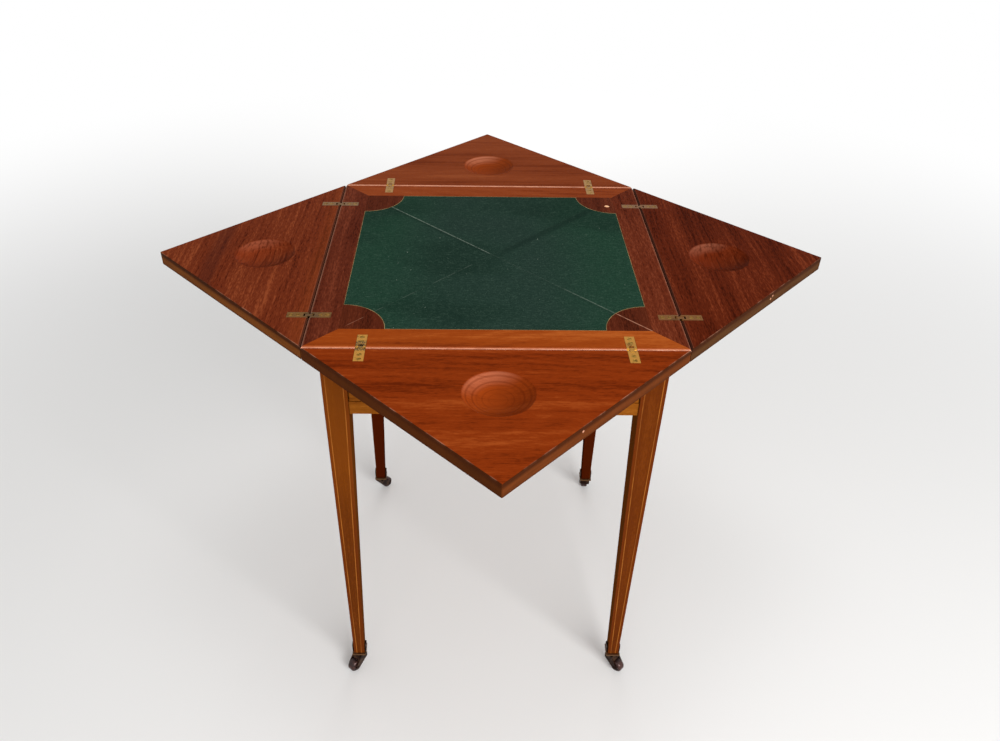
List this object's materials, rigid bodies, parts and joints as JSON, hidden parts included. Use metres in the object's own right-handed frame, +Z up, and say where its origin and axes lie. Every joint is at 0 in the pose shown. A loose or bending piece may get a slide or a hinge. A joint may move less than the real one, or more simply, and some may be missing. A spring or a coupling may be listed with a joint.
{
  "type": "envelope card table",
  "caption": "Square card table on tapered legs and castors: swivel top with triangular flaps that unfold on link hinges round a cloth-lined bed, counter wells and a drawer.",
  "frame": {"origin": "on the floor under the middle of the bed, at rest with the four flaps open", "axes": "+Z up; -Y is the front, where the drawer opens; +X is the right-hand side seen from the front"},
  "size_m": [1.0786, 1.0786, 0.755],
  "materials": {
    "flap": "French-polished mahogany veneer, satin",
    "bed": "French-polished mahogany border, satin",
    "leg": "polished mahogany with satinwood stringing",
    "rail": "polished mahogany veneer on the frieze and drawer front",
    "lining": "plain sawn and planed pine, unpolished",
    "cloth": "glued green baize, matt and napped",
    "hinge": "aged brass, let in flush",
    "pin": "turned brass, handled bright",
    "castor": "dark bronzed brass",
    "steel": "plain steel bolt and nut"
  },
  "bodies": {
    "frame": {"leg_front_left": "leg", "leg_front_right": "leg", "leg_back_left": "leg", "leg_back_right": "leg", "drawer_rail": "rail", "side_rail_left": "rail", "side_rail_right": "rail", "back_rail": "rail", "pivot_bearer": "lining", "castor_socket_front_left": "castor", "castor_socket_front_right": "castor", "castor_socket_back_left": "castor", "castor_socket_back_right": "castor"},
    "top": {"bed_board": "bed", "baize": "cloth", "pivot_bolt": "steel", "pivot_nut": "steel", "bed_plate_front_a": "hinge", "bed_plate_front_b": "hinge", "bed_plate_right_a": "hinge", "bed_plate_right_b": "hinge", "bed_plate_back_a": "hinge", "bed_plate_back_b": "hinge", "bed_plate_left_a": "hinge", "bed_plate_left_b": "hinge"},
    "lift_pin": {"lift_pin": "pin"},
    "links_front": {"hinge_link_front_a": "hinge", "hinge_link_front_b": "hinge"},
    "flap_front": {"flap_front": "flap", "flap_plate_front_a": "hinge", "flap_plate_front_b": "hinge"},
    "links_right": {"hinge_link_right_a": "hinge", "hinge_link_right_b": "hinge"},
    "flap_right": {"flap_right": "flap", "flap_plate_right_a": "hinge", "flap_plate_right_b": "hinge"},
    "links_back": {"hinge_link_back_a": "hinge", "hinge_link_back_b": "hinge"},
    "flap_back": {"flap_back": "flap", "flap_plate_back_a": "hinge", "flap_plate_back_b": "hinge"},
    "links_left": {"hinge_link_left_a": "hinge", "hinge_link_left_b": "hinge"},
    "flap_left": {"flap_left": "flap", "flap_plate_left_a": "hinge", "flap_plate_left_b": "hinge"},
    "drawer": {"drawer_front": "rail", "drawer_side_left": "lining", "drawer_side_right": "lining", "drawer_back": "lining", "drawer_bottom": "lining", "drawer_knob": "pin"},
    "horn_front_left": {"castor_horn_front_left": "castor"},
    "wheel_front_left": {"castor_wheel_front_left": "castor"},
    "horn_front_right": {"castor_horn_front_right": "castor"},
    "wheel_front_right": {"castor_wheel_front_right": "castor"},
    "horn_back_left": {"castor_horn_back_left": "castor"},
    "wheel_back_left": {"castor_wheel_back_left": "castor"},
    "horn_back_right": {"castor_horn_back_right": "castor"},
    "wheel_back_right": {"castor_wheel_back_right": "castor"}
  },
  "joints": [
    {"name": "top_swivel", "type": "hinge", "parent": "frame", "child": "top", "pos_m": [0, 0, 0.733], "axis": [0, 0, 1], "range_deg": [-45, 0]},
    {"name": "lift_pin_slide", "type": "slide", "parent": "top", "child": "lift_pin", "axis": [0, 0, 1], "range_m": [0, 0.004]},
    {"name": "links_front_hinge", "type": "hinge", "parent": "top", "child": "links_front", "pos_m": [0, -0.266, 0.75115], "axis": [-1, 0, 0], "range_deg": [0, 90]},
    {"name": "flap_front_hinge", "type": "hinge", "parent": "links_front", "child": "flap_front", "pos_m": [0, -0.274, 0.75115], "axis": [-1, 0, 0], "range_deg": [0, 90]},
    {"name": "links_right_hinge", "type": "hinge", "parent": "top", "child": "links_right", "pos_m": [0.266, 0, 0.75115], "axis": [0, -1, 0], "range_deg": [0, 90]},
    {"name": "flap_right_hinge", "type": "hinge", "parent": "links_right", "child": "flap_right", "pos_m": [0.274, 0, 0.75115], "axis": [0, -1, 0], "range_deg": [0, 90]},
    {"name": "links_back_hinge", "type": "hinge", "parent": "top", "child": "links_back", "pos_m": [0, 0.266, 0.75115], "axis": [1, 0, 0], "range_deg": [0, 90]},
    {"name": "flap_back_hinge", "type": "hinge", "parent": "links_back", "child": "flap_back", "pos_m": [0, 0.274, 0.75115], "axis": [1, 0, 0], "range_deg": [0, 90]},
    {"name": "links_left_hinge", "type": "hinge", "parent": "top", "child": "links_left", "pos_m": [-0.266, 0, 0.75115], "axis": [0, 1, 0], "range_deg": [0, 90]},
    {"name": "flap_left_hinge", "type": "hinge", "parent": "links_left", "child": "flap_left", "pos_m": [-0.274, 0, 0.75115], "axis": [0, 1, 0], "range_deg": [0, 90]},
    {"name": "drawer_slide", "type": "slide", "parent": "frame", "child": "drawer", "axis": [0, -1, 0], "range_m": [0, 0.34]},
    {"name": "castor_swivel_front_left", "type": "hinge", "parent": "frame", "child": "horn_front_left", "pos_m": [-0.23925, -0.23925, 0.038], "axis": [0, 0, 1], "continuous": true},
    {"name": "wheel_spin_front_left", "type": "hinge", "parent": "horn_front_left", "child": "wheel_front_left", "pos_m": [-0.24975, -0.25133, 0.012], "axis": [-0.7547, 0.6561, 0], "continuous": true},
    {"name": "castor_swivel_front_right", "type": "hinge", "parent": "frame", "child": "horn_front_right", "pos_m": [0.23925, -0.23925, 0.038], "axis": [0, 0, 1], "continuous": true},
    {"name": "wheel_spin_front_right", "type": "hinge", "parent": "horn_front_right", "child": "wheel_front_right", "pos_m": [0.25056, -0.25056, 0.012], "axis": [-0.7071, -0.7071, 0], "continuous": true},
    {"name": "castor_swivel_back_left", "type": "hinge", "parent": "frame", "child": "horn_back_left", "pos_m": [-0.23925, 0.23925, 0.038], "axis": [0, 0, 1], "continuous": true},
    {"name": "wheel_spin_back_left", "type": "hinge", "parent": "horn_back_left", "child": "wheel_back_left", "pos_m": [-0.2294, 0.25186, 0.012], "axis": [0.788, -0.6157, 0], "continuous": true},
    {"name": "castor_swivel_back_right", "type": "hinge", "parent": "frame", "child": "horn_back_right", "pos_m": [0.23925, 0.23925, 0.038], "axis": [0, 0, 1], "continuous": true},
    {"name": "wheel_spin_back_right", "type": "hinge", "parent": "horn_back_right", "child": "wheel_back_right", "pos_m": [0.24092, 0.25516, 0.012], "axis": [0.9945, -0.1045, 0], "continuous": true}
  ],
  "couplings": [
    {"joint": "lift_pin_slide", "follows": "top_swivel", "m_per_rad": -0.005092},
    {"joint": "flap_front_hinge", "follows": "links_front_hinge", "ratio": 1},
    {"joint": "flap_right_hinge", "follows": "links_right_hinge", "ratio": 1},
    {"joint": "flap_back_hinge", "follows": "links_back_hinge", "ratio": 1},
    {"joint": "flap_left_hinge", "follows": "links_left_hinge", "ratio": 1}
  ]
}
